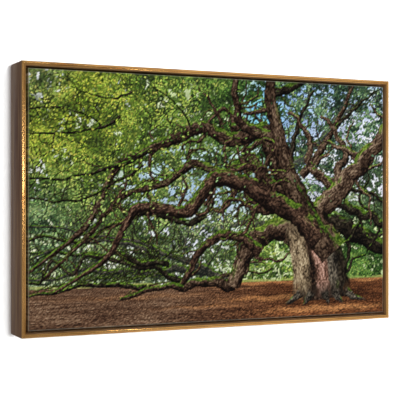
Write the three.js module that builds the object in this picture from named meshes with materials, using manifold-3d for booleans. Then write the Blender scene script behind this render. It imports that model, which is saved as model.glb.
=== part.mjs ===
// A framed canvas picture: a canvas stretched over four wooden bars, held in a
// floater frame, with the hardware that hangs it on a wall.
//
// Millimetres. +X runs along the picture to the viewer's right, +Z is up, and
// +Y goes into the wall, so the picture faces -Y. The origin is the middle of
// the top rail's flat back, where the frame faces the wall.

import * as THREE from "three";
import { mergeVertices } from "three/addons/utils/BufferGeometryUtils.js";
import Module from "manifold-3d";

// ---- Driving dimensions -------------------------------------------------

const FRAME = { width: 521, height: 329.5, depth: 50.8 };

// The moulding is an L: a thin lip that stands forward all round, and a flange
// at the back that the stretched canvas is screwed to.
const LIP = { width: 5, bevel: 0.8 };
const FLANGE = { reach: 20, thickness: 9.5 };

const SHADOW_GAP = 3.3; // open space between the lip and the canvas
const RECESS = 2.2; // the canvas's face lies this far behind the lip's front
const CLOTH = 0.8; // primed canvas, as a solid of its own
const RETURN = 24; // cloth folded over on to the back of the bars
const TOUCH = 0.1; // left between pieces that touch

const BAR = { width: 32, bead: 5, slope: 3.5 };

const SCREW = { inset: 14.5, along: 190, head: 3.7, shank: 1.6, length: 30 };
const COUNTERSINK = 2.3; // depth of the cone that the screw's head sits in
const HOLE_EASE = 0.3; // a hole is this much wider in radius than its screw

const HANGER = { along: 125, length: 44, height: 8, sheet: 1, standoff: 1.1, foot: 7 };
const POCKET = { length: 50, height: 13, depth: 3.4 }; // let into the rail for a hanger
const TOOTH = { count: 11, pitch: 2.4, height: 1.6 };
const NAIL = { along: 18, head: 2, headHeight: 0.8, shank: 0.75, length: 5.4 };

const BUMPER = { radius: 5, thickness: 1.6, dome: 0.6, inset: 10 };

const AROUND = 16; // sides of a small round piece

// ---- Places worked out from them ----------------------------------------

const FRONT = -FRAME.depth;
const FLANGE_FRONT = -FLANGE.thickness;
const CANVAS_INSET = LIP.width + SHADOW_GAP;
const CANVAS_FRONT = FRONT + RECESS;
const CANVAS_BACK = FLANGE_FRONT - TOUCH;
const BAR_INSET = CANVAS_INSET + CLOTH + TOUCH;
const BAR_FRONT = CANVAS_FRONT + CLOTH + TOUCH;
const BAR_BACK = CANVAS_BACK - CLOTH - TOUCH;
const RAIL_MIDDLE = FLANGE.reach / 2; // the origin's distance from the top edge
const CENTRE_Z = RAIL_MIDDLE - FRAME.height / 2;

const SIDES = [
  { name: "bottom", length: FRAME.width, away: FRAME.height / 2, turn: 0 },
  { name: "right", length: FRAME.height, away: FRAME.width / 2, turn: -Math.PI / 2 },
  { name: "top", length: FRAME.width, away: FRAME.height / 2, turn: Math.PI },
  { name: "left", length: FRAME.height, away: FRAME.width / 2, turn: Math.PI / 2 },
];

// ---- Materials ----------------------------------------------------------

const material = (color, roughness, metalness) =>
  new THREE.MeshStandardMaterial({ color, roughness, metalness });

const MATERIALS = {
  moulding: material(0xa9793c, 0.4, 0.6),
  canvas: material(0x4f5a34, 0.8, 0),
  pine: material(0xd9bd8b, 0.7, 0),
  steel: material(0xb4b6b8, 0.35, 1),
  brass: material(0xc3a45a, 0.35, 1),
  rubber: material(0x2b2a28, 0.8, 0),
};

// ---- Solids -------------------------------------------------------------

const wasm = await Module();
wasm.setup();

function solidFrom(geometry) {
  const bare = geometry.clone();
  bare.deleteAttribute("normal");
  bare.deleteAttribute("uv");
  const merged = mergeVertices(bare, 1e-3);
  return new wasm.Manifold(
    new wasm.Mesh({
      numProp: 3,
      vertProperties: merged.attributes.position.array,
      triVerts: new Uint32Array(merged.index.array),
    }),
  );
}

function geometryFrom(solid) {
  const mesh = solid.getMesh();
  const geometry = new THREE.BufferGeometry();
  geometry.setAttribute("position", new THREE.BufferAttribute(mesh.vertProperties, 3));
  geometry.setIndex(new THREE.BufferAttribute(mesh.triVerts, 1));
  geometry.computeVertexNormals();
  return geometry;
}

function cut(geometry, cutters) {
  return geometryFrom(
    cutters.reduce((left, cutter) => left.subtract(solidFrom(cutter)), solidFrom(geometry)),
  );
}

function join(first, ...others) {
  return geometryFrom(
    others.reduce((whole, other) => whole.add(solidFrom(other)), solidFrom(first)),
  );
}

// A round piece turned about the Y axis, from its half outline of [radius, y]
// points, which run from the back of the piece to its front.
function turned(outline) {
  const points = outline.map(([radius, y]) => new THREE.Vector2(radius, y));
  return new THREE.LatheGeometry(points.reverse(), AROUND);
}

function block(x, y, z) {
  const size = [x[1] - x[0], y[1] - y[0], z[1] - z[0]];
  const middle = [(x[0] + x[1]) / 2, (y[0] + y[1]) / 2, (z[0] + z[1]) / 2];
  return new THREE.BoxGeometry(...size).translate(...middle);
}

function named(name, geometry, finish, position = [0, 0, 0]) {
  const mesh = new THREE.Mesh(geometry, finish);
  mesh.name = name;
  mesh.position.set(...position);
  return mesh;
}

// ---- Mitred lengths -----------------------------------------------------

// A length of moulding along X, its profile given as [inset, y] points. The
// inset is measured from the frame's outside edge and becomes Z. Both ends are
// cut at 45 degrees, because a point's end lies as far in as its inset.
function mitred(profile, length) {
  const shape = new THREE.Shape(profile.map(([inset, y]) => new THREE.Vector2(inset, y)));
  const geometry = new THREE.ExtrudeGeometry(shape, { depth: length, bevelEnabled: false });
  const at = geometry.attributes.position;
  for (let i = 0; i < at.count; i += 1) {
    const end = at.getX(i) + TOUCH;
    const along = at.getZ(i) < length / 2 ? end : length - end;
    at.setZ(i, along - length / 2);
  }
  const inset = new THREE.Vector3(0, 0, 1);
  const depth = new THREE.Vector3(0, 1, 0);
  const along = new THREE.Vector3(-1, 0, 0);
  return geometry.applyMatrix4(new THREE.Matrix4().makeBasis(inset, depth, along));
}

const MOULDING_PROFILE = [
  [0, FRONT + LIP.bevel],
  [LIP.bevel, FRONT],
  [LIP.width - LIP.bevel, FRONT],
  [LIP.width, FRONT + LIP.bevel],
  [LIP.width, FLANGE_FRONT],
  [FLANGE.reach, FLANGE_FRONT],
  [FLANGE.reach, 0],
  [0, 0],
];

// The bar's face falls away from a bead along its outer edge, so that only the
// bead touches the back of the canvas.
const BAR_PROFILE = [
  [BAR_INSET, BAR_FRONT],
  [BAR_INSET + BAR.bead, BAR_FRONT],
  [BAR_INSET + BAR.width, BAR_FRONT + BAR.slope],
  [BAR_INSET + BAR.width, BAR_BACK],
  [BAR_INSET, BAR_BACK],
];

// ---- Fixings ------------------------------------------------------------

const SCREW_OUTLINE = [
  [0, -TOUCH],
  [SCREW.head, -TOUCH],
  [SCREW.shank, -COUNTERSINK],
  [SCREW.shank, -SCREW.length + 2 * SCREW.shank],
  [0, -SCREW.length],
];

const SCREW_HOLE = [
  [0, 1],
  [SCREW.head + HOLE_EASE, 1],
  [SCREW.head + HOLE_EASE, 0],
  [SCREW.shank + HOLE_EASE, -COUNTERSINK],
  [SCREW.shank + HOLE_EASE, -SCREW.length - 1],
  [0, -SCREW.length - 1],
];

const NAIL_SEAT = TOUCH + HANGER.standoff + HANGER.sheet + TOUCH;

const NAIL_OUTLINE = [
  [0, NAIL_SEAT + NAIL.headHeight],
  [NAIL.head * 0.6, NAIL_SEAT + NAIL.headHeight],
  [NAIL.head, NAIL_SEAT + NAIL.headHeight / 3],
  [NAIL.head, NAIL_SEAT],
  [NAIL.shank, NAIL_SEAT],
  [NAIL.shank, -NAIL.length + NAIL.shank],
  [0, -NAIL.length],
];

const NAIL_HOLE = [
  [0, NAIL_SEAT + 1],
  [NAIL.shank + HOLE_EASE, NAIL_SEAT + 1],
  [NAIL.shank + HOLE_EASE, -NAIL.length - 1],
  [0, -NAIL.length - 1],
];

const screwPlaces = (side) => (side.length === FRAME.width ? [-SCREW.along, SCREW.along] : [0]);

const hangerPlaces = (side) => (side.name === "top" ? [-HANGER.along, HANGER.along] : []);

// The pocket that a hanger lies in, with the holes for its two nails.
function hangerSeat(x) {
  const pocket = block(
    [x - POCKET.length / 2, x + POCKET.length / 2],
    [-POCKET.depth, 1],
    [RAIL_MIDDLE - POCKET.height / 2, RAIL_MIDDLE + POCKET.height / 2],
  );
  const nails = [x - NAIL.along, x + NAIL.along];
  return [
    pocket,
    ...nails.map((at) => turned(NAIL_HOLE).translate(at, -POCKET.depth, RAIL_MIDDLE)),
  ];
}

// ---- One side of the picture --------------------------------------------

// In a side's own group X runs along it and Z goes from its outside edge to
// the picture's middle.
function makeSide(side) {
  const group = new THREE.Group();
  const screwHoles = screwPlaces(side).map((x) => turned(SCREW_HOLE).translate(x, 0, SCREW.inset));
  const hangerSeats = hangerPlaces(side).flatMap(hangerSeat);
  const rail = cut(mitred(MOULDING_PROFILE, side.length), [...screwHoles, ...hangerSeats]);
  const bar = cut(mitred(BAR_PROFILE, side.length), screwHoles);
  group.add(named(`frame_${side.name}`, rail, MATERIALS.moulding));
  group.add(named(`stretcher_${side.name}`, bar, MATERIALS.pine));
  screwPlaces(side).forEach((x, i) => {
    const name = `screw_${side.name}_${i + 1}`;
    group.add(named(name, turned(SCREW_OUTLINE), MATERIALS.steel, [x, 0, SCREW.inset]));
  });
  group.position.set(0, 0, -side.away);
  const turnedRound = new THREE.Group();
  turnedRound.rotation.y = side.turn;
  turnedRound.add(group);
  return turnedRound;
}

// ---- The stretched canvas -----------------------------------------------

// One sheet: the picture's face, its four wrapped edges and the cloth that is
// folded over the back of the bars.
function makeCanvas() {
  const x = FRAME.width / 2 - CANVAS_INSET;
  const z = FRAME.height / 2 - CANVAS_INSET;
  const outside = block([-x, x], [CANVAS_FRONT, CANVAS_BACK], [-z, z]);
  const room = block(
    [CLOTH - x, x - CLOTH],
    [CANVAS_FRONT + CLOTH, CANVAS_BACK - CLOTH],
    [CLOTH - z, z - CLOTH],
  );
  const mouth = block(
    [RETURN - x, x - RETURN],
    [CANVAS_BACK - 2 * CLOTH, CANVAS_BACK + CLOTH],
    [RETURN - z, z - RETURN],
  );
  const holes = SIDES.flatMap((side) =>
    screwPlaces(side).map((along) =>
      turned(SCREW_HOLE)
        .translate(along, 0, SCREW.inset - side.away)
        .rotateY(side.turn),
    ),
  );
  return named("canvas", cut(outside, [room, mouth, ...holes]), MATERIALS.canvas);
}

// ---- Hanging hardware ---------------------------------------------------

// A pressed strip with a row of teeth along its lower edge, which catch on a
// nail in the wall. Its two ends are bent back to lie on the rail.
function hangerStrip() {
  const half = HANGER.length / 2;
  const toothed = (TOOTH.count * TOOTH.pitch) / 2;
  const outline = new THREE.Shape();
  outline.moveTo(-half, HANGER.height / 2);
  outline.lineTo(-half, -HANGER.height / 2);
  outline.lineTo(-toothed, -HANGER.height / 2);
  for (let i = 0; i < TOOTH.count; i += 1) {
    const left = i * TOOTH.pitch - toothed;
    outline.lineTo(left + TOOTH.pitch / 2, TOOTH.height - HANGER.height / 2);
    outline.lineTo(left + TOOTH.pitch, -HANGER.height / 2);
  }
  outline.lineTo(half, -HANGER.height / 2);
  outline.lineTo(half, HANGER.height / 2);
  const sheet = new THREE.ExtrudeGeometry(outline, { depth: HANGER.sheet, bevelEnabled: false });
  return sheet.rotateX(Math.PI / 2).translate(0, NAIL_SEAT - TOUCH, 0);
}

function makeHanger(name, x) {
  const end = HANGER.length / 2;
  const tall = [-HANGER.height / 2, HANGER.height / 2];
  const deep = [TOUCH, NAIL_SEAT - TOUCH];
  const whole = join(
    hangerStrip(),
    block([-end, HANGER.foot - end], deep, tall),
    block([end - HANGER.foot, end], deep, tall),
  );
  const holes = [-NAIL.along, NAIL.along].map((at) => turned(NAIL_HOLE).translate(at, 0, 0));
  return named(name, cut(whole, holes), MATERIALS.brass, [x, -POCKET.depth, -CENTRE_Z]);
}

function makeNail(name, x) {
  return named(name, turned(NAIL_OUTLINE), MATERIALS.brass, [x, -POCKET.depth, -CENTRE_Z]);
}

function makeBumper(name, sign) {
  const outline = [
    [0, BUMPER.thickness],
    [BUMPER.radius - BUMPER.dome, BUMPER.thickness],
    [BUMPER.radius, BUMPER.thickness - BUMPER.dome],
    [BUMPER.radius, TOUCH],
    [0, TOUCH],
  ];
  const x = sign * (FRAME.width / 2 - BUMPER.inset);
  const z = BUMPER.inset - FRAME.height / 2;
  return named(name, turned(outline), MATERIALS.rubber, [x, 0, z]);
}

// ---- The picture --------------------------------------------------------

const picture = new THREE.Group();
picture.position.set(0, 0, CENTRE_Z);
SIDES.forEach((side) => picture.add(makeSide(side)));
picture.add(makeCanvas());
[["left", -1], ["right", 1]].forEach(([hand, sign]) => {
  const x = sign * HANGER.along;
  picture.add(makeHanger(`hanger_${hand}`, x));
  picture.add(makeNail(`nail_${hand}_1`, x - NAIL.along));
  picture.add(makeNail(`nail_${hand}_2`, x + NAIL.along));
  picture.add(makeBumper(`bumper_${hand}`, sign));
});

const root = new THREE.Group();
root.add(picture);

export default root;
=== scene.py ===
from math import atan2, cos, pi, radians, sin

import bmesh
import bpy
import numpy as np
from bpy.props import (
    FloatProperty,
    FloatVectorProperty,
    IntProperty,
    PointerProperty,
)
from bpy.types import Operator, Panel, PropertyGroup
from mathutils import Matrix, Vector


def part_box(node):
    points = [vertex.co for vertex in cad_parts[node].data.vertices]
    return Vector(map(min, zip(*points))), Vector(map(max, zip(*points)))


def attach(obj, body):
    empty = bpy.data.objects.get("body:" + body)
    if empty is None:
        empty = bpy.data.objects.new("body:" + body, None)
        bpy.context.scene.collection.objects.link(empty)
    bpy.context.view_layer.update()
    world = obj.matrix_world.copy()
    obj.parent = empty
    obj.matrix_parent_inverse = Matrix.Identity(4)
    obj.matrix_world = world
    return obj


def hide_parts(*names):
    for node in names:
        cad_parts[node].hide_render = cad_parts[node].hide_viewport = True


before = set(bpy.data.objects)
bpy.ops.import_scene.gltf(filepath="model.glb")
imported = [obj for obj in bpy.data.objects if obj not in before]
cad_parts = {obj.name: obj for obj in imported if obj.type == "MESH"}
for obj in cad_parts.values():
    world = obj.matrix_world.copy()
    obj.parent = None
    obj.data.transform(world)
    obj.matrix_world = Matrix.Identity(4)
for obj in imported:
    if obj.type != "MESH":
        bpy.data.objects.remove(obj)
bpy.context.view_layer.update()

bl_info = {
    "name": "Framed canvas picture",
    "version": (1, 0, 0),
    "blender": (4, 5, 0),
    "location": "View3D > Sidebar > Picture",
    "description": "A stretched canvas print of an old oak in a gold floater frame",
    "category": "Add Mesh",
}

MM = 0.001

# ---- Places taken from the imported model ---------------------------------


def corner(node, which, axis):
    """One coordinate of a node's box: which is 0 for its lowest corner."""
    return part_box(node)[which]["xyz".index(axis)]


LEFT = corner("frame_left", 0, "x")
RIGHT = corner("frame_right", 1, "x")
BOTTOM = corner("frame_bottom", 0, "z")
TOP = corner("frame_top", 1, "z")
FRONT = corner("frame_top", 0, "y")
BACK = corner("frame_top", 1, "y")
MIDDLE = Vector(((LEFT + RIGHT) / 2, 0, (BOTTOM + TOP) / 2))

FLANGE_REACH = corner("frame_left", 1, "x") - LEFT
CANVAS_LOW, CANVAS_HIGH = (Vector(end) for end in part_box("canvas"))
BAR_LOW, BAR_HIGH = (Vector(end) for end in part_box("stretcher_bottom"))
BAR_INSET = BAR_LOW.z - BOTTOM

# How far each side is turned about the picture's middle, from the bottom one.
SIDES = {"bottom": 0, "left": pi / 2, "top": pi, "right": -pi / 2}
LYING = ("bottom", "top")

# Each mitred end is cut this much short, so that the joints show.
MITRE_GAP = 0.05 * MM

# The unprimed back lies just behind the face, and stops short of its sides.
CLOTH_THICKNESS = 0.5 * MM
REVERSE_INSET = 2 * MM
REVERSE_SIZE = (
    CANVAS_HIGH.x - CANVAS_LOW.x - 2 * REVERSE_INSET,
    CANVAS_HIGH.z - CANVAS_LOW.z - 2 * REVERSE_INSET,
)


# ---- Settings -----------------------------------------------------------


def ink(code):
    """An sRGB colour's three parts, 0 to 1, from a hex code such as "c8a050"."""
    return np.array([int(code[i : i + 2], 16) / 255 for i in (0, 2, 4)])


def to_linear(parts):
    """sRGB parts as linear light."""
    return np.where(parts <= 0.04045, parts / 12.92, ((parts + 0.055) / 1.055) ** 2.4)


def linear(code):
    return tuple(to_linear(ink(code)))


def size_property(name, description, millimetres):
    return FloatProperty(
        name=name,
        description=description,
        default=millimetres * MM,
        unit="LENGTH",
    )


def colour_property(name, description, code):
    return FloatVectorProperty(
        name=name,
        description=description,
        default=linear(code),
        subtype="COLOR",
        size=3,
        min=0,
        max=1,
    )


class MouldingSettings(PropertyGroup):
    lip: size_property("Lip width", "Width of the thin lip that stands forward", 5)
    groove: size_property("Groove depth", "Depth of the groove along the lip", 0.45)
    flange: size_property("Flange thickness", "Thickness of the flange at the back", 9.5)
    leaf: colour_property("Leaf", "Colour of the metal leaf on the lip", "c09358")
    worn: colour_property("Worn leaf", "Colour where the leaf is rubbed thin", "8e5a28")
    lacquer: colour_property("Lacquer", "Colour of the bronze lacquer on the sides", "785a44")


class CanvasSettings(PropertyGroup):
    seed: IntProperty(name="Seed", description="Starts the painting's chance", default=11)
    fold: size_property("Turned cloth", "Width of cloth folded on to the bars", 24)
    corner: size_property("Edge rounding", "Radius of the cloth round the bar's edge", 1.2)
    weave: size_property("Thread spacing", "Distance between the canvas's threads", 0.8)
    raw: colour_property("Raw cloth", "Colour of the cloth's unprinted back", "d9cfb8")


class BarSettings(PropertyGroup):
    bead: size_property("Bead width", "Width of the raised edge under the canvas", 5)
    pale: colour_property("Early wood", "Colour of the pine between its rings", "e2c492")
    ring: colour_property("Late wood", "Colour of the pine's rings", "c69a62")
    spacing: size_property("Ring spacing", "Distance between the pine's growth rings", 3)


class HardwareSettings(PropertyGroup):
    staple: size_property("Staple width", "Width across a staple's crown", 10)
    pitch: size_property("Staple pitch", "Distance from one staple to the next", 42)
    wire: size_property("Wire", "Thickness of a staple's wire", 0.9)


class StageSettings(PropertyGroup):
    lens: FloatProperty(
        name="Lens",
        description="Focal length of the camera",
        default=93.56,
        unit="CAMERA",
    )
    turn: FloatProperty(
        name="Turn",
        description="How far the camera stands to the left of straight in front",
        default=radians(24.68),
        subtype="ANGLE",
    )


SETTINGS = {
    "picture_moulding": MouldingSettings,
    "picture_canvas": CanvasSettings,
    "picture_bars": BarSettings,
    "picture_hardware": HardwareSettings,
    "picture_stage": StageSettings,
}


# ---- Small tools for modelling ------------------------------------------


def deselect():
    if bpy.context.object and bpy.context.object.mode != "OBJECT":
        bpy.ops.object.mode_set(mode="OBJECT")
    bpy.ops.object.select_all(action="DESELECT")


def only(piece):
    """Selects one piece and makes it the active one."""
    deselect()
    piece.select_set(True)
    bpy.context.view_layer.objects.active = piece


def edit(mode="VERT"):
    """Starts editing the active piece, with all of it selected."""
    bpy.ops.object.mode_set(mode="EDIT")
    bpy.ops.mesh.select_mode(type=mode)
    bpy.ops.mesh.select_all(action="SELECT")


def leave_edit():
    bpy.ops.object.mode_set(mode="OBJECT")


def pick(kind, test):
    """Selects only those vertices, edges or faces, in edit mode, that pass a test."""
    bpy.ops.mesh.select_all(action="DESELECT")
    mesh = bmesh.from_edit_mesh(bpy.context.object.data)
    for part in getattr(mesh, kind):
        part.select_set(bool(test(part)))
    mesh.select_flush_mode()
    bmesh.update_edit_mesh(bpy.context.object.data)


def use_modifier(piece, kind, **settings):
    """Adds a modifier to a piece and applies it."""
    only(piece)
    modifier = piece.modifiers.new(kind.title(), kind)
    for name, value in settings.items():
        setattr(modifier, name, value)
    bpy.ops.object.modifier_apply(modifier=modifier.name)


def settle(piece):
    """Puts the piece's place, turn and size into its mesh."""
    only(piece)
    bpy.ops.object.transform_apply(location=True, rotation=True, scale=True)


def copied(piece, name):
    twin = piece.copy()
    twin.data = piece.data.copy()
    twin.name = twin.data.name = name
    bpy.context.scene.collection.objects.link(twin)
    return twin


def joined(pieces, name):
    only(pieces[0])
    for piece in pieces:
        piece.select_set(True)
    bpy.ops.object.join()
    whole = bpy.context.object
    whole.name = whole.data.name = name
    return whole


def ease_edges(piece, width, angle):
    """Rounds a piece's edges that are sharper than an angle."""
    use_modifier(
        piece,
        "BEVEL",
        width=width,
        segments=2,
        limit_method="ANGLE",
        angle_limit=radians(angle),
    )


def smooth(piece, angle):
    """Shades a piece smooth, but for its edges sharper than an angle."""
    only(piece)
    bpy.ops.object.shade_smooth_by_angle(angle=radians(angle))


def cut_away(piece, cutter):
    """Cuts the cutter's shape out of a piece, and removes the cutter."""
    use_modifier(piece, "BOOLEAN", object=cutter, operation="DIFFERENCE", solver="EXACT")
    bpy.data.objects.remove(cutter)


def nodes_named(start):
    """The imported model's nodes whose names start so."""
    return [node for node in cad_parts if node.startswith(start)]


def middle_of(node):
    """The middle of a node's box."""
    low, high = (Vector(end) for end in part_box(node))
    return (low + high) / 2


def length_of(side):
    return RIGHT - LEFT if side in LYING else TOP - BOTTOM


def far_out(side):
    """How far a side's outer edge lies from the picture's middle."""
    return (TOP - BOTTOM if side in LYING else RIGHT - LEFT) / 2


def points_of(mesh):
    """The places of a mesh's points, one row for each."""
    places = np.empty(len(mesh.vertices) * 3, dtype=np.float32)
    mesh.vertices.foreach_get("co", places)
    return places.reshape(-1, 3)


def keep_lengthways(piece, side):
    """Keeps each point's place along, behind and across its side, for the wood's grain."""
    turn = SIDES[side]
    x, y, z = (points_of(piece.data) - np.array(MIDDLE)).T
    # Each side starts at another place in the wood, so that no two are alike.
    along = x * cos(turn) - z * sin(turn) + turn
    inset = x * sin(turn) + z * cos(turn) + far_out(side)
    places = piece.data.attributes.new("lengthways", "FLOAT_VECTOR", "POINT")
    vectors = np.stack([along, y, inset], 1).astype(np.float32)
    places.data.foreach_set("vector", vectors.ravel())


def finish_piece(piece, slot, *materials):
    """Gives a piece its materials, unless it has them, and its body. The slot is not used."""
    if materials:
        piece.data.materials.clear()
        for material in materials:
            piece.data.materials.append(material)
    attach(piece, "root")


def drawn_length(name, profile, length):
    """A mitred length of wood, drawn from its section.

    The section is a list of (inset, y) points. It is drawn a point at a time,
    filled, pushed out along X, and cut at 45 degrees at both ends.
    """
    deselect()
    inset, y = profile[0]
    start = (-length / 2, y, inset)
    bpy.ops.mesh.primitive_plane_add(size=MM, location=start)
    piece = bpy.context.object
    piece.name = piece.data.name = name
    settle(piece)
    edit()
    bpy.ops.mesh.merge(type="CENTER")
    for (inset, y), (next_inset, next_y) in zip(profile, profile[1:]):
        step = (0, next_y - y, next_inset - inset)
        bpy.ops.mesh.extrude_region_move(TRANSFORM_OT_translate={"value": step})
    bpy.ops.mesh.select_all(action="SELECT")
    bpy.ops.mesh.edge_face_add()
    bpy.ops.mesh.extrude_region_move(TRANSFORM_OT_translate={"value": (length, 0, 0)})
    bpy.ops.mesh.select_all(action="SELECT")
    bpy.ops.mesh.normals_make_consistent(inside=False)
    for end in (-1, 1):
        bpy.ops.mesh.select_all(action="SELECT")
        bpy.ops.mesh.bisect(
            plane_co=(end * (length / 2 - MITRE_GAP), 0, 0),
            plane_no=(end, 0, 1),
            use_fill=True,
            clear_outer=True,
        )
    leave_edit()
    return piece


def round_the_picture(make, names):
    """Makes a long and a short length and sets them round the picture's middle."""
    pieces = {}
    for side, opposite in (LYING, ("left", "right")):
        first = make(names.format(side), length_of(side))
        pieces[side] = first
        pieces[opposite] = copied(first, names.format(opposite))
    for side, piece in pieces.items():
        turn = SIDES[side]
        piece.rotation_euler = (0, turn, 0)
        piece.location = MIDDLE - Vector((sin(turn), 0, cos(turn))) * far_out(side)
        settle(piece)
    return pieces


# ---- Small tools for materials ------------------------------------------


def new_material(name):
    material = bpy.data.materials.new(name)
    material.use_nodes = True
    material.node_tree.nodes.clear()
    return material


def add(material, kind, settings=None, **inputs):
    """Adds a node, sets it, and sets or links its inputs.

    An input's name has _ for a space, or is in0, in1 and so on for its place.
    A link is given as (node, output). The setting named stops holds a colour
    ramp's stops, each (place, colour).
    """
    node = material.node_tree.nodes.new("ShaderNode" + kind)
    for name, value in (settings or {}).items():
        if name == "stops":
            elements = node.color_ramp.elements
            for _ in value[len(elements) :]:
                elements.new(0.5)
            for element, (place, colour) in zip(elements, value):
                element.position = place
                element.color = (*colour, 1)
        else:
            setattr(node, name, value)
    for name, value in inputs.items():
        place = int(name[2:]) if name[:2] == "in" and name[2:].isdigit() else name.replace("_", " ")
        socket = node.inputs[place]
        if isinstance(value, tuple) and isinstance(value[0], bpy.types.Node):
            material.node_tree.links.new(value[0].outputs[value[1]], socket)
        elif socket.type == "RGBA" and len(value) == 3:
            socket.default_value = (*value, 1)
        else:
            socket.default_value = value
    return node


def every(millimetres):
    """The scale that repeats a pattern once in so many millimetres."""
    return 1 / (millimetres * MM)


def grain(length, spacing):
    """The scale for marks of a length along a piece and a spacing across it, in millimetres."""
    return every(length), every(spacing), every(spacing)


def waves(spacing):
    """The scale of a wave texture whose crests lie so far apart: it turns 20 radians a unit."""
    return 2 * pi / (spacing * 20)


# ---- Finishes -----------------------------------------------------------


def gold_leaf(settings):
    """Dutch metal leaf on brown bole, rubbed back by hand along the moulding.

    The eye gets a warm satin metal with fine streaks, and brown places along
    the lip where the leaf is rubbed thin and the bole shows.
    """
    m = new_material("Dutch metal leaf, hand rubbed")
    at = add(m, "Attribute", {"attribute_name": "lengthways"})
    # The rubbing's fine marks.
    fine = add(m, "Mapping", Vector=(at, "Vector"), Scale=grain(62.5, 0.625))
    marks = add(m, "TexNoise", Vector=(fine, 0), Scale=1, Detail=3, Roughness=0.6)
    # The rubbed patches, which follow the lip.
    broad = add(m, "Mapping", Vector=(at, "Vector"), Scale=grain(41.7, 3.33))
    patches = add(m, "TexNoise", Vector=(broad, 0), Scale=1, Detail=4, Roughness=0.55)
    mixed = add(m, "Math", {"operation": "MULTIPLY_ADD"}, in0=(marks, 0), in1=0.5, in2=(patches, 0))
    leaf, worn = np.array(settings.leaf), np.array(settings.worn)
    stops = ((0.46, worn), (0.6, worn * 0.4 + leaf * 0.6), (0.74, leaf), (0.94, leaf * 1.18))
    tone = add(m, "ValToRGB", {"stops": stops}, Fac=(mixed, 0))
    rough = add(m, "MapRange", Value=(marks, 0), in1=0.3, in2=0.7, in3=0.13, in4=0.18)
    bump = add(m, "Bump", Strength=0.06, Distance=0.05 * MM, Height=(marks, 0))
    shader = add(
        m,
        "BsdfPrincipled",
        Base_Color=(tone, 0),
        Metallic=1.0,
        Roughness=(rough, 0),
        Normal=(bump, 0),
    )
    add(m, "OutputMaterial", Surface=(shader, 0))
    return m


def bronze_lacquer(settings):
    """Bronze lacquer wiped along the sides of the moulding over a dark ground.

    The eye gets a dull, matt brown with long soft streaks.
    """
    m = new_material("Bronze lacquer, wiped")
    at = add(m, "Attribute", {"attribute_name": "lengthways"})
    # The wiping's streaks.
    long = add(m, "Mapping", Vector=(at, "Vector"), Scale=grain(143, 5.9))
    streaks = add(m, "TexNoise", Vector=(long, 0), Scale=1, Detail=5, Roughness=0.7)
    base = np.array(settings.lacquer)
    stops = ((0.4, base * (0.66, 0.54, 0.56)), (0.5, base), (0.6, base * (1.4, 1.5, 1.3)))
    tone = add(m, "ValToRGB", {"stops": stops}, Fac=(streaks, 0))
    # Fine grit in the lacquer.
    grit = add(m, "TexNoise", Vector=(at, "Vector"), Scale=every(0.7), Detail=2)
    rough = add(m, "MapRange", Value=(grit, 0), in1=0.3, in2=0.7, in3=0.42, in4=0.58)
    bump = add(m, "Bump", Strength=0.2, Distance=0.05 * MM, Height=(streaks, 0))
    shader = add(
        m,
        "BsdfPrincipled",
        Base_Color=(tone, 0),
        Metallic=0.05,
        Roughness=(rough, 0),
        Specular_IOR_Level=0.05,
        Normal=(bump, 0),
    )
    add(m, "OutputMaterial", Surface=(shader, 0))
    return m


def umber_wash():
    """Matt umber paint brushed in the gap.

    The eye gets a warm brown in the shadow that the canvas floats in. The brown is paler than umber:
    painted light for the narrow gap that little light reaches.
    """
    m = new_material("Matt umber paint, brushed")
    at = add(m, "Attribute", {"attribute_name": "lengthways"})
    # The brush's bristle marks.
    brush = add(m, "Mapping", Vector=(at, "Vector"), Scale=grain(50, 1.1))
    marks = add(m, "TexNoise", Vector=(brush, 0), Scale=1, Detail=3)
    # Pale browns: the umber paint lightened as painted light for the shaded gap.
    stops = ((0.35, linear("8a6444")), (0.7, linear("b88c60")))
    tone = add(m, "ValToRGB", {"stops": stops}, Fac=(marks, 0))
    shader = add(m, "BsdfPrincipled", Base_Color=(tone, 0), Roughness=0.8)
    add(m, "OutputMaterial", Surface=(shader, 0))
    return m


def planed_pine(settings):
    """Pine, planed and left bare: pale cream wood with long honey lines.

    The eye gets rings that run the length of each bar, drift a little and
    close on themselves here and there, and a soft fibrous nap between them.
    """
    m = new_material("Pine, planed")
    at = add(m, "Attribute", {"attribute_name": "lengthways"})
    # The tree's heart lies along the bar and wanders 10 mm in 300 mm.
    drawn = add(m, "Mapping", Vector=(at, "Vector"), Scale=grain(333, 40))
    bend = add(m, "TexNoise", Vector=(drawn, 0), Scale=1, Detail=2)
    wander = (0, 30 * MM, 30 * MM)
    heart = add(
        m,
        "VectorMath",
        {"operation": "MULTIPLY_ADD"},
        in0=(bend, 1),
        in1=wander,
        in2=(at, "Vector"),
    )
    rings = add(
        m,
        "TexWave",
        {"wave_type": "RINGS", "rings_direction": "X"},
        Vector=(heart, 0),
        Scale=waves(settings.spacing),
    )
    # Fibres, drawn half a millimetre apart so that they show.
    thin = add(m, "Mapping", Vector=(at, "Vector"), Scale=grain(50, 0.53))
    fibre = add(m, "TexNoise", Vector=(thin, 0), Scale=1, Detail=2)
    mixed = add(m, "Math", {"operation": "MULTIPLY_ADD"}, in0=(fibre, 0), in1=0.3, in2=(rings, 1))
    pale, ring = np.array(settings.pale), np.array(settings.ring)
    stops = ((0.25, pale), (0.8, pale * 0.88), (1, ring))
    tone = add(m, "ValToRGB", {"stops": stops}, Fac=(mixed, 0))
    bump = add(m, "Bump", Strength=0.2, Distance=0.1 * MM, Height=(fibre, 0))
    shader = add(m, "BsdfPrincipled", Base_Color=(tone, 0), Roughness=0.62, Normal=(bump, 0))
    add(m, "OutputMaterial", Surface=(shader, 0))
    return m


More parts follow.
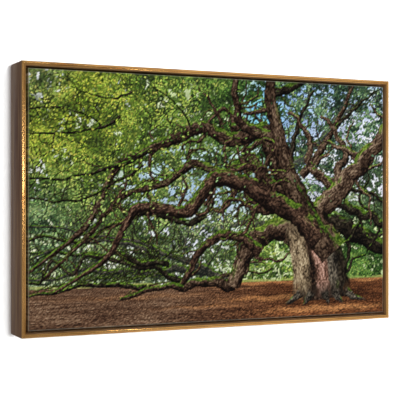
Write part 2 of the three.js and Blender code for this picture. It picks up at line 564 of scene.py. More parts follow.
def printed_canvas(settings):
    """Cotton canvas, primed and printed: a matt picture over a plain weave."""
    m = new_material("Cotton canvas, primed and printed")
    printed = add(m, "Attribute", {"attribute_name": "print"})
    at = add(m, "TexCoord")
    # Leaf and bark detail finer than the picture's own points.
    speck = add(m, "TexNoise", Vector=(at, "Object"), Scale=every(1.6), Detail=2, Roughness=0.6)
    depth = add(m, "MapRange", Value=(speck, 0), in1=0.3, in2=0.7, in3=0.87, in4=1.07)
    dots = add(m, "VectorMath", {"operation": "SCALE"}, in0=(printed, "Color"), Scale=(depth, 0))
    # The weave, softened by the primer.
    turns = waves(settings.weave)
    warp = add(m, "TexWave", {"bands_direction": "X"}, Vector=(at, "Object"), Scale=turns)
    weft = add(m, "TexWave", {"bands_direction": "Z"}, Vector=(at, "Object"), Scale=turns)
    weave = add(m, "Math", {"operation": "MAXIMUM"}, in0=(warp, 1), in1=(weft, 1))
    bump = add(m, "Bump", Strength=0.12, Distance=0.08 * MM, Height=(weave, 0))
    shader = add(
        m,
        "BsdfPrincipled",
        Base_Color=(dots, 0),
        Roughness=0.78,
        Specular_IOR_Level=0.06,
        Normal=(bump, 0),
    )
    add(m, "OutputMaterial", Surface=(shader, 0))
    return m


def raw_canvas(settings):
    """Unprimed cotton duck: cream, with slubbed threads and dark flecks of seed."""
    m = new_material("Cotton duck, unprimed")
    at = add(m, "TexCoord")
    uneven = dict(Vector=(at, "Object"), Scale=waves(settings.weave), Distortion=1.5)
    warp = add(m, "TexWave", {"bands_direction": "X"}, **uneven)
    weft = add(m, "TexWave", {"bands_direction": "Z"}, **uneven)
    weave = add(m, "Math", {"operation": "MAXIMUM"}, in0=(warp, 1), in1=(weft, 1))
    slub = add(m, "TexNoise", Vector=(at, "Object"), Scale=every(6.25), Detail=5, Roughness=0.75)
    mixed = add(m, "Math", {"operation": "MULTIPLY_ADD"}, in0=(weave, 0), in1=0.3, in2=(slub, 0))
    raw = np.array(settings.raw)
    stops = ((0.36, raw * (0.62, 0.56, 0.48)), (0.5, raw * 0.86), (0.9, raw))
    tone = add(m, "ValToRGB", {"stops": stops}, Fac=(mixed, 0))
    bump = add(m, "Bump", Strength=0.4, Distance=0.2 * MM, Height=(weave, 0))
    shader = add(m, "BsdfPrincipled", Base_Color=(tone, 0), Roughness=0.9, Normal=(bump, 0))
    add(m, "OutputMaterial", Surface=(shader, 0))
    return m


def plated(name, code, roughness):
    """Plated steel: a bright metal with a fine rolled grain and dull spots."""
    m = new_material(name)
    at = add(m, "TexCoord")
    drawn = add(m, "Mapping", Vector=(at, "Object"), Scale=grain(3.3, 0.4))
    rolled = add(m, "TexNoise", Vector=(drawn, 0), Scale=1, Detail=2)
    spots = add(m, "TexNoise", Vector=(at, "Object"), Scale=every(2.5), Detail=4)
    metal = np.array(linear(code))
    stops = ((0.35, metal * 0.72), (0.6, metal))
    tone = add(m, "ValToRGB", {"stops": stops}, Fac=(spots, 0))
    dull = roughness + 0.15
    rough = add(m, "MapRange", Value=(rolled, 0), in1=0.3, in2=0.7, in3=roughness, in4=dull)
    shader = add(m, "BsdfPrincipled", Base_Color=(tone, 0), Metallic=1.0, Roughness=(rough, 0))
    add(m, "OutputMaterial", Surface=(shader, 0))
    return m


def moulded_rubber():
    """Black rubber, moulded: matt, with a bloom of dust and a pebbled skin."""
    m = new_material("Rubber, moulded")
    at = add(m, "TexCoord")
    pebble = add(m, "TexVoronoi", Vector=(at, "Object"), Scale=every(1.1))
    dust = add(m, "TexNoise", Vector=(at, "Object"), Scale=every(3.3), Detail=4)
    stops = ((0.4, linear("1c1b1a")), (0.75, linear("3a3836")))
    tone = add(m, "ValToRGB", {"stops": stops}, Fac=(dust, 0))
    bump = add(m, "Bump", Strength=0.3, Distance=0.1 * MM, Height=(pebble, 0))
    shader = add(m, "BsdfPrincipled", Base_Color=(tone, 0), Roughness=0.85, Normal=(bump, 0))
    add(m, "OutputMaterial", Surface=(shader, 0))
    return m


# ---- The painting -------------------------------------------------------

# The print is one colour for each point of the cloth's face. It is painted
# finer than that and then averaged. Places are fractions of the picture from
# its lower left corner. The lie of the main limbs, the kinds of foliage, the
# light between the leaves and the sun on the ground are given below.
# Everything else is left to chance that starts from the seed.

COLUMNS, ROWS, FINE = 380, 236, 4
WIDE, HIGH = COLUMNS * FINE, ROWS * FINE
HORIZON = 0.155
MEADOW = 0.012

# The picture's height for its width, near enough for distances across it.
ASPECT = 0.62

# Slow changes of colour are worked out once for a square so many points wide.
COARSE = 8

# Chance comes from a table so many numbers wide, which is then repeated.
TABLE = 256

# Leaves have so many shapes, and are laid down in so many rounds.
LEAF_SHAPES = 20
LEAF_ROUNDS = 5


def inks(codes):
    return np.array([ink(code) for code in codes.split()])


# Dark to light.
BARK = inks("0d0907 281b14 4c3a2d 7c6652 ab947a")
RED_BARK = inks("0f0907 291c16 4c372b 7c5f4b b09480")
GREY_BARK = inks("12100d 302b25 585044 857a69 b3a895")
FAR_BARK = inks("1a1d1a 2c2c26 4a483c 6e6a58 94907c")
DARK_BARK = inks("070605 17130e 2d261c 4b4336 70665a")
TAN_BARK = inks("1c1610 4e4030 857258 b09c7c d4c2a2")
PINK_BARK = inks("241610 5c4034 946f5e c49a88 e2c4b4")
MOSS = inks("121c0a 2a4412 52741f 86a03a")
LITTER = inks("241712 523829 765842 a68a70")
RED_LITTER = inks("1c100a 4a2a1a 724428 a86c42")

# Kinds of foliage: shade, middle, light.
SUNLIT = inks("2a3418 667a26 b6bf48")
LEAFY = inks("242f1c 5c7a32 a8bc58")
DEEP = inks("162212 3c5e28 7e9e4c")
BLUISH = inks("15211a 3c573f 86a476")
MISTY = inks("262c22 5f724c a8b288")

# Where each kind lies: (across, up, reach, kind).
FOLIAGE = (
    (0.10, 0.80, 0.20, SUNLIT),
    (0.38, 0.90, 0.14, LEAFY),
    (0.24, 0.52, 0.12, LEAFY),
    (0.02, 0.98, 0.06, MISTY),
    (0.02, 0.42, 0.10, BLUISH),
    (0.20, 0.22, 0.16, MISTY),
    (0.48, 0.48, 0.12, MISTY),
    (0.56, 0.80, 0.12, DEEP),
    (0.62, 0.30, 0.12, LEAFY),
    (0.86, 0.82, 0.18, BLUISH),
    (0.95, 0.52, 0.08, MISTY),
    (0.93, 0.28, 0.10, DEEP),
)

# Sky and light between the leaves.
CLOUD = inks("dddfee")
SKY = inks("9cbfea")
CLEAR_SKY = inks("62aede")
GLOW = inks("c6d69c")

# Where light comes through, and how much: (across, up, reach, share, colour).
LIGHT = (
    (0.03, 0.96, 0.07, 0.40, CLOUD),
    (0.19, 0.92, 0.09, 0.30, CLOUD),
    (0.12, 0.74, 0.16, 0.12, GLOW),
    (0.02, 0.58, 0.06, 0.44, CLOUD),
    (0.30, 0.54, 0.07, 0.64, SKY),
    (0.38, 0.62, 0.08, 0.72, SKY),
    (0.48, 0.56, 0.09, 0.78, SKY),
    (0.62, 0.86, 0.05, 0.70, CLEAR_SKY),
    (0.76, 0.90, 0.12, 0.55, SKY),
    (0.84, 0.72, 0.10, 0.56, CLOUD),
    (0.95, 0.66, 0.07, 0.48, CLOUD),
    (0.46, 0.38, 0.08, 0.52, CLOUD),
    (0.20, 0.18, 0.12, 0.48, GLOW),
    (0.62, 0.22, 0.12, 0.46, GLOW),
    (0.95, 0.24, 0.09, 0.34, GLOW),
    (0.26, 0.36, 0.12, 0.30, CLOUD),
    (0.40, 0.82, 0.16, 0.22, GLOW),
)

# Where the sun lies on the ground: (across, up, length, thickness, strength).
SUN = (
    (0.67, 0.084, 0.12, 0.009, 2.2),
    (0.82, 0.030, 0.15, 0.011, 2.4),
    (0.63, 0.150, 0.13, 0.007, 1.8),
    (0.96, 0.148, 0.07, 0.007, 1.8),
    (0.46, 0.060, 0.12, 0.007, 0.6),
    (0.28, 0.110, 0.20, 0.010, 0.4),
)


class Painting:
    """A picture of an old oak in a wood, painted from the back to the front."""

    def __init__(self, seed):
        self.chance = np.random.default_rng(seed)
        y, x = np.mgrid[0:HIGH, 0:WIDE].astype(float)
        self.x, self.y = x, y
        self.image = np.zeros((HIGH, WIDE, 3))
        across, up = x[::COARSE, ::COARSE] / WIDE, y[::COARSE, ::COARSE] / HIGH
        self.foliage = self.spread(self.blended(FOLIAGE, across, up))
        self.haze = self.spread(self.blended(LIGHT, across, up))[..., 0, :]
        shares = [(*place, np.full((1, 3), share)) for *place, share, _ in LIGHT]
        self.open = self.spread(self.blended(shares, across, up))[..., 0, 0]

    # -- chance and colour

    def noise(self, x, y):
        """Smooth chance between 0 and 1, which changes over a distance of 1."""
        table = self.chance.random((TABLE, TABLE))
        column, row = np.floor(x).astype(int), np.floor(y).astype(int)
        a, b = x - column, y - row
        a, b = a * a * (3 - 2 * a), b * b * (3 - 2 * b)
        next_column, next_row = (column + 1) % TABLE, (row + 1) % TABLE
        column, row = column % TABLE, row % TABLE
        low = table[column, row] * (1 - a) + table[next_column, row] * a
        high = table[column, next_row] * (1 - a) + table[next_column, next_row] * a
        return low * (1 - b) + high * b

    def cloud(self, x, y, layers=4, gain=1.6):
        """Layers of noise, each half the size of the last."""
        total = sum(self.noise(x * 2**k, y * 2**k) / 2**k for k in range(layers))
        return np.clip((total / (2 - 2.0 ** (1 - layers)) - 0.5) * gain + 0.5, 0, 1)

    @staticmethod
    def ramp(tones, value):
        """Colours along a list of tones, for values from 0 to 1."""
        at = np.clip(value, 0, 1) * (len(tones) - 1)
        low = np.minimum(at.astype(int), len(tones) - 2)
        part = (at - low)[..., None]
        return tones[low] * (1 - part) + tones[low + 1] * part

    @staticmethod
    def blended(places, across, up):
        """The last value of each place, mixed by how near each one is."""
        total, weight = 0, 1e-9
        for place_across, place_up, reach, *_, tones in places:
            far = (across - place_across) ** 2 + ((up - place_up) * ASPECT) ** 2
            near = np.exp(-far / reach**2) + 1e-6 / (far + 0.01)
            total = total + near[..., None, None] * tones
            weight = weight + near
        return total / weight[..., None, None]

    @staticmethod
    def spread(coarse):
        """A coarse field at every point of the picture."""
        rows = np.minimum(np.arange(HIGH) // COARSE, coarse.shape[0] - 1)
        columns = np.minimum(np.arange(WIDE) // COARSE, coarse.shape[1] - 1)
        return coarse[rows][:, columns]

    # -- the wood behind

    def backdrop(self):
        """The wood far away, with sky and light in its gaps."""
        light = self.cloud(self.x / 60, self.y / 60, 5, 2.2)[..., None]
        far = self.foliage[..., 0, :] * (1 - light) + self.foliage[..., 1, :] * light
        # Chinks a few leaves across, gathered where the crown is thin.
        x = self.x + 26 * self.cloud(self.x / 34, self.y / 34, 3, 2.0)
        y = self.y + 26 * self.cloud(self.x / 34, self.y / 34, 3, 2.0)
        gaps = self.cloud(x / 60, y / 50, 2, 1.6)
        chinks = self.cloud(x / 18, y / 15, 3, 2.4)
        glow = np.clip((chinks * 0.62 + gaps * 0.38 - 0.88 + self.open * 0.85) * 6, 0, 1)[..., None]
        self.image[:] = far * (1 - glow) + self.haze * (0.86 + 0.2 * light) * glow
        self.glow = glow[..., 0]

    def leaves(self, count, size, lift, cover, left_only=False):
        """Leaves in clumps, thin where light comes through.

        The size is in points, lift makes them lighter, and cover is the share
        that stays where they are thickest.
        """
        chance = self.chance
        x = chance.random(count) * (WIDE - 1)
        y = (HORIZON + chance.random(count) * (1 - HORIZON)) * (HIGH - 1)
        i, j = x.astype(int), y.astype(int)
        clump = self.cloud(x / 64, y / 64, 4, 2.4)
        stay = chance.random(count) < cover * (0.25 + clump) * (1 - 0.80 * self.glow[j, i])
        if left_only:
            stay &= chance.random(count) < np.clip(1.05 - 1.7 * x / WIDE, 0.03, 1)
            stay &= chance.random(count) < np.clip(y / HIGH * 3 - 1.1, 0, 1)
        x, y, i, j = x[stay], y[stay], i[stay], j[stay]
        lit = self.cloud(x / 64, y / 48, 3, 2.6)
        tone = 0.08 + 0.76 * lit + 0.62 * (chance.random(len(x)) - 0.42) + lift
        tone = np.clip(tone, 0, 1) * 2
        low = np.minimum(tone.astype(int), 1)
        part = (tone - low)[:, None]
        local = self.foliage[j, i]
        each = np.arange(len(x))
        colour = local[each, low] * (1 - part) + local[each, low + 1] * part
        colour = colour * (0.93 + 0.13 * chance.random((len(x), 3)))
        kind = chance.integers(0, LEAF_SHAPES, len(x))
        laid_in = chance.integers(0, LEAF_ROUNDS, len(x))
        reach = int(size * 1.4) + 1
        down, right = np.mgrid[-reach : reach + 1, -reach : reach + 1]
        for batch in range(LEAF_SHAPES * LEAF_ROUNDS):
            shape = batch % LEAF_SHAPES
            turn = shape * 2 * pi / LEAF_SHAPES + 0.1
            long = size * (0.7 + 0.15 * (shape % 5))
            a = (right * cos(turn) + down * sin(turn)) / long
            b = (down * cos(turn) - right * sin(turn)) / (long * 0.5)
            inside = a * a + b * b < 1
            chosen = (kind == shape) & (laid_in == batch // LEAF_SHAPES)
            rows = j[chosen][:, None] + down[inside]
            columns = i[chosen][:, None] + right[inside]
            ok = (rows >= 0) & (rows < HIGH) & (columns >= 0) & (columns < WIDE)
            blade = colour[chosen][:, None] * (1 - 0.2 * b[inside])[None, :, None]
            self.image[rows[ok], columns[ok]] = blade[ok]

    def ground(self):
        """Litter that draws together with distance, and the sun that lies on it."""
        rows = slice(0, int(HORIZON * HIGH))
        across, up = self.x[rows] / WIDE, self.y[rows] / HIGH
        depth = 1 / (0.14 + (HORIZON - up) / HORIZON)
        x, y = (across - 0.5) * depth * 230, depth * 120
        litter = self.cloud(x, y, 3, 2.6) - 0.5
        patches = self.cloud(x / 26, y / 14, 3, 2.0)
        value = 0.28 + 0.80 * litter + 0.40 * patches
        side = np.clip((across - 0.35) / 0.35, 0, 1)[..., None]
        soil = self.ramp(LITTER, value) * (1 - side) + self.ramp(RED_LITTER, value) * side
        sun = 0
        for place, height, length, thickness, strength in SUN:
            wave = height + 0.004 * np.sin(across * 60 + place * 90)
            near = ((across - place) / length) ** 2 + ((up - wave) / thickness) ** 2
            sun = sun + strength * np.exp(-near)
        sun = np.clip(sun * (0.62 + litter), 0, 0.92)[..., None]
        soil = soil * (1 - sun) + ink("cf8f58") * sun
        shade = 0.4 * np.exp(-(((across - 0.80) / 0.15) ** 2) - ((up - 0.085) / 0.04) ** 2)
        self.image[rows] = soil * (1 - shade[..., None])
        # A strip of meadow in the sun, seen under the wood.
        beyond = slice(int(HORIZON * HIGH), int((HORIZON + MEADOW) * HIGH))
        strip = self.cloud(self.x[beyond] / 40, self.y[beyond] / 6, 3, 2.0)
        strip = np.clip(strip * 1.5, 0, 0.8)[..., None]
        self.image[beyond] = self.image[beyond] * (1 - strip) + ink("a4a85c") * strip

    # -- the oak

    @staticmethod
    def curve(points, step=0.6, slack=0.34):
        """A line through points that turns at each one like a bent knee."""
        p = np.vstack([2 * points[0] - points[1], points, 2 * points[-1] - points[-2]])
        pieces = []
        for a, b, c, d in zip(p, p[1:], p[2:], p[3:]):
            count = max(int(np.hypot(*(c - b)) / step), 2)
            t = np.linspace(0, 1, count, endpoint=False)[:, None]
            ease = t * t * (3 - 2 * t)
            leave, arrive = (c - a) * slack * t * (1 - t) ** 2, (d - b) * slack * t * t * (t - 1)
            pieces.append(b + (c - b) * ease + leave + arrive)
        return np.vstack(pieces + [points[-1:]])

    @staticmethod
    def headings(path):
        """The direction of a line at each of its points."""
        along = np.gradient(path, axis=0)
        return along / (np.linalg.norm(along, axis=1, keepdims=True) + 1e-9)

    def limb(self, path, radius, bark, moss=0.5, haze=0.0, light=0.0, soft=0.0):
        """A round, rough limb along a path, with moss on top.

        Haze thins it with the air's colour, and soft blends its edges and ends
        into what is behind.
        """
        along = self.headings(path)
        across = np.stack([-along[:, 1], along[:, 0]], 1)
        across = across * np.where(across[:, 1:] - 0.35 * across[:, :1] < 0, -1, 1)
        count, width = len(path), int(radius.max() * 3.2) + 5
        s = np.arange(count)[:, None] * np.ones(width)
        t = np.linspace(-1, 1, width) * np.ones((count, 1))
        size = max(radius.mean(), 2.0)
        rough = 1 + 0.28 * (self.cloud(s / (size * 1.2), np.sign(t) * 9 + 20, 3) - 0.5)
        at = path[:, None] + across[:, None] * (t * radius[:, None] * rough)[..., None]
        up, round_ = across[:, 1:] * t, np.sqrt(1 - t * t)
        from_left = -across[:, :1] * t
        girth = t * radius[:, None]
        plates = self.cloud(s / (6 + size * 0.2), girth / (2.8 + size * 0.05) + 40, 4, 2.4)
        patch = self.cloud(s / (size * 2.5 + 10), t * 1.5 + 60, 3, 2.4)
        value = 0.06 + 0.26 * round_ + 0.40 * up + 0.12 * from_left + light
        value = value + 0.50 * (plates - 0.5) + 0.34 * (patch - 0.4)
        colour = self.ramp(bark, value)
        green = self.ramp(MOSS, 0.10 + 0.55 * plates + 0.3 * up + light)
        cover = np.clip((up - 0.32 + 0.9 * (patch - 0.55) + moss - 0.5) * 3, 0, 0.9)[..., None]
        colour = colour * (1 - cover) + green * cover
        columns, rows = at[..., 0].astype(int), at[..., 1].astype(int)
        ok = (columns >= 0) & (columns < WIDE) & (rows >= 0) & (rows < HIGH)
        columns, rows, colour = columns[ok], rows[ok], colour[ok]
        under = self.image[rows, columns]
        if haze:
            air = self.foliage[rows, columns, 1] * 0.6 + self.haze[rows, columns] * 0.4
            colour = colour * (1 - haze) + air * haze
        if soft:
            edge = np.clip((1 - abs(t)) / soft, 0, 1)
            ends = np.clip(np.minimum(s, count - s) / (count * 0.22), 0, 1)
            solid = (edge * edge * (3 - 2 * edge) * ends)[ok][:, None]
            colour = colour * solid + under * (1 - solid)
        self.image[rows, columns] = colour

    def shoots(self, path, radius, look, levels, every):
        """Side limbs that wander off from a limb, about one to every so many points, and theirs."""
        chance = self.chance
        for _ in range(int(len(path) * 0.6 / every * chance.uniform(0.7, 1.3))):
            k = int(chance.uniform(0.15, 1) * (len(path) - 2))
            thick = max(radius[k] * chance.uniform(0.22, 0.5), 1.0)
            heading = atan2(*(path[k + 1] - path[k])[::-1])
            heading += chance.choice([-1, 1]) * chance.uniform(0.5, 1.2)
            length = (34 + thick * 16) * chance.uniform(0.7, 1.6)
            steps = max(int(length / 13), 4)
            points = [path[k]]
            for turn in range(steps):
                heading += chance.normal(0, 0.26)
                if turn % 3 == 2:
                    heading += chance.choice([-1, 1]) * 0.45
                # Near the ground they turn up.
                if points[-1][1] < 0.19 * HIGH:
                    heading = abs(heading) % pi * 0.5
                step = np.array([cos(heading), sin(heading)]) * length / steps
                points.append(points[-1] + step)
            side = self.curve(np.array(points))
            thin = np.linspace(thick, max(thick * 0.3, 0.8), len(side))
            self.limb(side, thin, **look)
            if levels > 1:
                self.shoots(side, thin, look, levels - 1, every * 0.75)

    def arch(self, start, top, end, thick, thin, bark, knees=5, levels=2, every=70, bow=1.0, **look):
        """A limb through three places, with knees on the way and side limbs.

        Its thickness at each end is a fraction of the picture's width.
        """
        chance = self.chance
        frame_size = np.array([WIDE, HIGH])
        start, top, end = (np.array(place) * frame_size for place in (start, top, end))
        t = np.linspace(0, 1, knees * 2 + 1)[:, None]
        way = start * (1 - t) * (1 - 2 * t) + 4 * top * t * (1 - t) + end * t * (2 * t - 1)
        along = self.headings(way)
        kick = chance.uniform(-1, 1, len(way)) + np.where(np.arange(len(way)) % 2, 0.35, -0.35)
        kick[[0, -1]] = 0
        length = np.linalg.norm(np.diff(way, axis=0), axis=1).sum()
        kick = kick * bow * (0.012 * length + (thick + thin) * WIDE * 0.12)
        path = self.curve(way + np.stack([-along[:, 1], along[:, 0]], 1) * kick[:, None])
        radius = (thin + (thick - thin) * np.linspace(1, 0, len(path)) ** 1.25) * WIDE
        radius = radius * (0.88 + 0.24 * self.noise(np.arange(len(path)) / (radius.mean() * 5), 0.5))
        look = dict(bark=bark, **look)
        if levels:
            self.shoots(path, radius, look, levels, every)
        self.limb(path, radius, **look)

    def trunk(self):
        """Flutes that rise from a flared foot, and the roots round it."""
        # Each flute's foot, thickness, bark, moss and light.
        flutes = (
            (0.872, 0.030, DARK_BARK, 0.55, 0.06),
            (0.838, 0.036, GREY_BARK, 0.36, 0.02),
            (0.742, 0.026, TAN_BARK, 0.05, 0.10),
            (0.786, 0.030, BARK, 0.10, -0.10),
            (0.812, 0.024, PINK_BARK, 0.00, 0.08),
            (0.757, 0.022, TAN_BARK, 0.10, 0.12),
        )
        dark = dict(moss=0.05, light=-0.12, knees=2, levels=0, bow=0.1)
        self.arch((0.81, 0.07), (0.80, 0.24), (0.77, 0.42), 0.068, 0.050, BARK, **dark)
        for foot, thick, bark, moss, light in flutes:
            head = 0.700 + (foot - 0.74) * 0.75
            turn = (foot * 0.62 + head * 0.38, 0.28)
            look = dict(moss=moss, light=light, soft=0.35, knees=3, levels=0, bow=0.35)
            self.arch((foot, 0.07), turn, (head, 0.42), thick, thick * 0.9, bark, **look)
        # Roots: where each leaves the foot, and how far out it goes.
        roots = ((0.745, -0.055), (0.775, -0.03), (0.81, 0.015), (0.84, 0.03), (0.87, 0.075))
        look = dict(moss=0.35, light=-0.02, soft=0.3, knees=2, levels=0, bow=0.5)
        for foot, reach in roots:
            middle = (foot + reach * 0.45, 0.078)
            low = 0.058 - 0.02 * (1 - abs(reach) / 0.075)
            self.arch((foot, 0.11), middle, (foot + reach, low), 0.018, 0.004, GREY_BARK, **look)

    def oak(self):
        """The oak, from its farthest limbs to its nearest, with the ground between."""
        arch = self.arch
        # Limbs behind, thinned by the air.
        far = dict(haze=0.22, moss=0.35, levels=3, every=46)
        arch((0.70, 0.62), (0.82, 0.80), (0.91, 1.02), 0.014, 0.004, FAR_BARK, **far)
        arch((0.69, 0.66), (0.74, 0.84), (0.77, 1.02), 0.008, 0.003, FAR_BARK, **far)
        arch((0.80, 0.75), (0.88, 0.88), (0.99, 0.98), 0.006, 0.002, FAR_BARK, **far)
        arch((0.66, 0.38), (0.54, 0.40), (0.42, 0.36), 0.012, 0.003, FAR_BARK, **far)
        arch((0.65, 0.60), (0.61, 0.55), (0.55, 0.50), 0.010, 0.004, FAR_BARK, **far)
        self.leaves(36000, 5.0, 0.0, 0.8)
        self.ground()
        # Limbs to the right.
        fan = dict(moss=0.2, levels=2, every=70, bow=0.7)
        arch((0.74, 0.60), (0.82, 0.76), (0.91, 1.02), 0.013, 0.004, BARK, **fan)
        arch((0.84, 0.79), (0.90, 0.89), (0.99, 0.99), 0.006, 0.002, DARK_BARK, **fan)
        arch((0.71, 0.66), (0.73, 0.82), (0.78, 0.97), 0.009, 0.003, DARK_BARK, **fan)
        arch((0.82, 0.41), (0.92, 0.35), (1.04, 0.26), 0.026, 0.021, DARK_BARK, moss=0.4, levels=1)
        arch((0.83, 0.50), (0.92, 0.45), (1.04, 0.37), 0.016, 0.011, DARK_BARK, moss=0.45, levels=1)
        arch((0.85, 0.53), (0.93, 0.54), (1.04, 0.46), 0.007, 0.004, DARK_BARK, moss=0.4, levels=1)
        lit = dict(moss=0.3, light=0.16, levels=1, bow=0.6)
        arch((0.79, 0.44), (0.895, 0.60), (1.04, 0.87), 0.031, 0.018, BARK, **lit)
        # Low limbs that lie along the ground.
        low = dict(moss=0.42, levels=3, every=44)
        arch((0.54, 0.17), (0.32, 0.21), (-0.02, 0.20), 0.014, 0.003, FAR_BARK, **low)
        arch((0.50, 0.18), (0.24, 0.34), (-0.02, 0.40), 0.010, 0.002, FAR_BARK, **low)
        arch((0.40, 0.17), (0.20, 0.27), (-0.02, 0.30), 0.009, 0.002, DARK_BARK, **low)
        arch((0.30, 0.15), (0.16, 0.16), (-0.02, 0.12), 0.008, 0.002, DARK_BARK, **low)
        arch((0.30, 0.30), (0.16, 0.34), (-0.02, 0.26), 0.006, 0.002, FAR_BARK, **low)
        near = dict(moss=0.4, levels=1, every=90)
        arch((0.545, 0.145), (0.40, 0.150), (0.23, 0.105), 0.016, 0.004, BARK, **near)
        # Crooked limbs in the wood at the left.
        crooked = dict(moss=0.35, levels=1, every=90, bow=3.2, knees=5)
        arch((0.46, 0.44), (0.24, 0.40), (-0.02, 0.33), 0.009, 0.003, DARK_BARK, **crooked)
        arch((0.36, 0.24), (0.18, 0.26), (-0.02, 0.19), 0.008, 0.003, DARK_BARK, **crooked)
        # Long limbs that sweep to the left.
        sweep = dict(knees=4, every=90, bow=3.0)
        arch((0.72, 0.54), (0.43, 0.64), (0.04, 0.20), 0.019, 0.004, BARK, moss=0.5, **sweep)
        arch((0.74, 0.50), (0.45, 0.81), (-0.02, 0.20), 0.027, 0.004, BARK, moss=0.4, **sweep)
        # Limbs that go up.
        up = dict(knees=2, levels=1)
        arch((0.655, 0.76), (0.60, 0.79), (0.535, 0.80), 0.017, 0.012, BARK, knees=2, moss=0.4, levels=0)
        arch((0.57, 0.81), (0.55, 0.88), (0.55, 1.03), 0.013, 0.007, BARK, moss=0.3, **up)
        arch((0.65, 0.89), (0.61, 0.865), (0.57, 0.86), 0.009, 0.004, BARK, moss=0.3, **up)
        arch((0.65, 0.95), (0.70, 0.97), (0.77, 1.03), 0.013, 0.010, DARK_BARK, moss=0.45, **up)
        # The lowest limb, the one that grows from it, and the trunk.
        lowest = dict(moss=0.35, light=0.12, levels=1, every=120, bow=0.6)
        arch((0.74, 0.33), (0.63, 0.36), (0.535, 0.14), 0.034, 0.020, BARK, **lowest)
        bent = dict(moss=0.5, levels=2, bow=0.7)
        arch((0.62, 0.28), (0.50, 0.35), (0.395, 0.155), 0.015, 0.008, RED_BARK, **bent)
        self.trunk()
        # The great limbs that lean out over the trunk's foot, and the moss on them.
        leader = dict(knees=4, moss=0.30, light=0.05, levels=0, bow=0.4)
        arch((0.84, 0.27), (0.70, 0.62), (0.65, 1.03), 0.046, 0.013, BARK, **leader)
        great = dict(knees=4, moss=0.34, light=0.02, levels=2, bow=2.6)
        arch((0.80, 0.33), (0.49, 0.55), (0.06, 0.14), 0.034, 0.004, RED_BARK, **great)
        mossy = dict(moss=0.95, soft=0.6, levels=0, bow=0.5)
        arch((0.86, 0.26), (0.79, 0.42), (0.70, 0.62), 0.014, 0.008, BARK, **mossy)

    def sprays(self):
        """Thin limbs in front, which carry the nearest leaves."""
        near = dict(moss=0.25, levels=3, every=60)
        self.arch((0.31, 0.70), (0.15, 0.60), (-0.02, 0.58), 0.006, 0.002, DARK_BARK, **near)
        self.arch((0.23, 0.83), (0.14, 0.77), (-0.02, 0.75), 0.004, 0.002, DARK_BARK, **near)
        self.arch((0.18, 0.79), (0.10, 0.85), (-0.02, 0.84), 0.003, 0.002, DARK_BARK, **near)
        self.arch((0.29, 0.64), (0.12, 0.50), (-0.02, 0.52), 0.004, 0.002, DARK_BARK, **near)
        self.arch((0.26, 0.93), (0.19, 0.90), (0.09, 0.95), 0.003, 0.001, DARK_BARK, **near)
        self.arch((0.42, 0.79), (0.38, 0.88), (0.30, 0.97), 0.003, 0.001, DARK_BARK, **near)

    def finished(self):
        """The painting's colours, row by row from the lower left corner."""
        self.backdrop()
        self.leaves(44000, 4.6, -0.12, 0.9)
        self.oak()
        self.leaves(8000, 5.0, 0.12, 0.8, left_only=True)
        self.sprays()
        self.leaves(7000, 5.0, 0.16, 0.8, left_only=True)
        points = self.image.reshape(ROWS, FINE, COLUMNS, FINE, 3).mean((1, 3))
        # Sharpened for the print: each point is pushed away from its neighbours.
        around = np.pad(points, ((1, 1), (1, 1), (0, 0)), mode="edge")
        near = (around[:-2, 1:-1] + around[2:, 1:-1] + around[1:-1, :-2] + around[1:-1, 2:]) / 4
        return np.clip(points + 1.1 * (points - near), 0, 1)


# ---- Operators: one for each piece or group -----------------------------

# How far back the leaf goes from the front.
LEAF_DEPTH = 1.2 * MM

# The screws' seats and the hangers' pockets in the back of the mouldings.
SEAT_RADIUS = 4.2 * MM
SEAT_DEPTH = 6 * MM
SEAT_PROUD = 0.6 * MM
SEAT_TAPER = 0.5
POCKET_SIZE = (50 * MM, 6.8 * MM, 13 * MM)
POCKET_CORNER = 3 * MM


